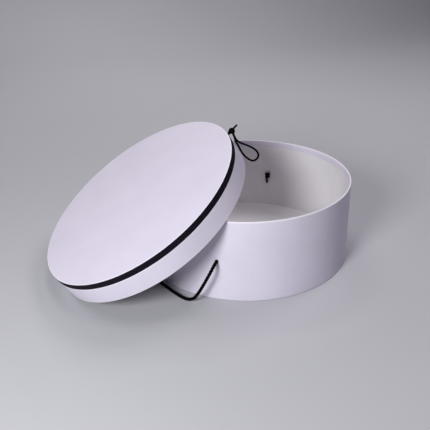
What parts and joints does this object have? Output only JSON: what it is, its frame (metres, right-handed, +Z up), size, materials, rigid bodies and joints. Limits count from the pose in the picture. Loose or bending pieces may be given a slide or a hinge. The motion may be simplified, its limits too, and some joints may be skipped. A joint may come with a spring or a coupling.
{
  "type": "hat box",
  "caption": "Round paper-covered board hat box with a loose lid leaning on its rim, a ribbon band with a pull loop, and a carry cord.",
  "frame": {"origin": "centre of the box's flat underside, on the surface that it stands on", "axes": "+Z up; the lid leans towards -X, with its foot on the same surface; +Y is away from the side that the near cord hole is on"},
  "size_m": [0.562, 0.4032, 0.2542],
  "materials": {
    "cover_paper": "matte, faint lavender, fine laid grain",
    "lining_paper": "matte, off-white",
    "board": "matte grey board",
    "tape": "matte brown gummed paper",
    "ribbon": "black ribbed ribbon, faint sheen",
    "cord": "black twisted cord"
  },
  "bodies": {
    "box": {"base_cover": "cover_paper", "base_board": "board", "base_lining": "lining_paper", "wall_board": "board", "wall_seam_tape": "tape", "wall_cover": "cover_paper", "wall_lining": "lining_paper", "carry_cord": "cord", "front_stopper_knot": "cord", "rear_stopper_knot": "cord"},
    "lid": {"top_cover": "cover_paper", "top_board": "board", "top_lining": "lining_paper", "skirt_board": "board", "skirt_seam_tape": "tape", "skirt_cover": "cover_paper", "skirt_lining": "lining_paper", "ribbon_band": "ribbon", "loop_knot": "cord", "knot_tail_upper": "cord", "knot_tail_lower": "cord"},
    "loop": {"pull_loop": "cord"}
  },
  "joints": [
    {"name": "lid_swing", "type": "hinge", "parent": "box", "child": "lid", "pos_m": [0.04575, 0, -0.18061], "axis": [0, 1, 0], "range_deg": [0, 31.77]},
    {"name": "loop_swing", "type": "hinge", "parent": "lid", "child": "loop", "pos_m": [-0.02971, -0.01751, 0.23446], "axis": [-0.0741, -0.9962, -0.0459], "range_deg": [0, 90]}
  ]
}
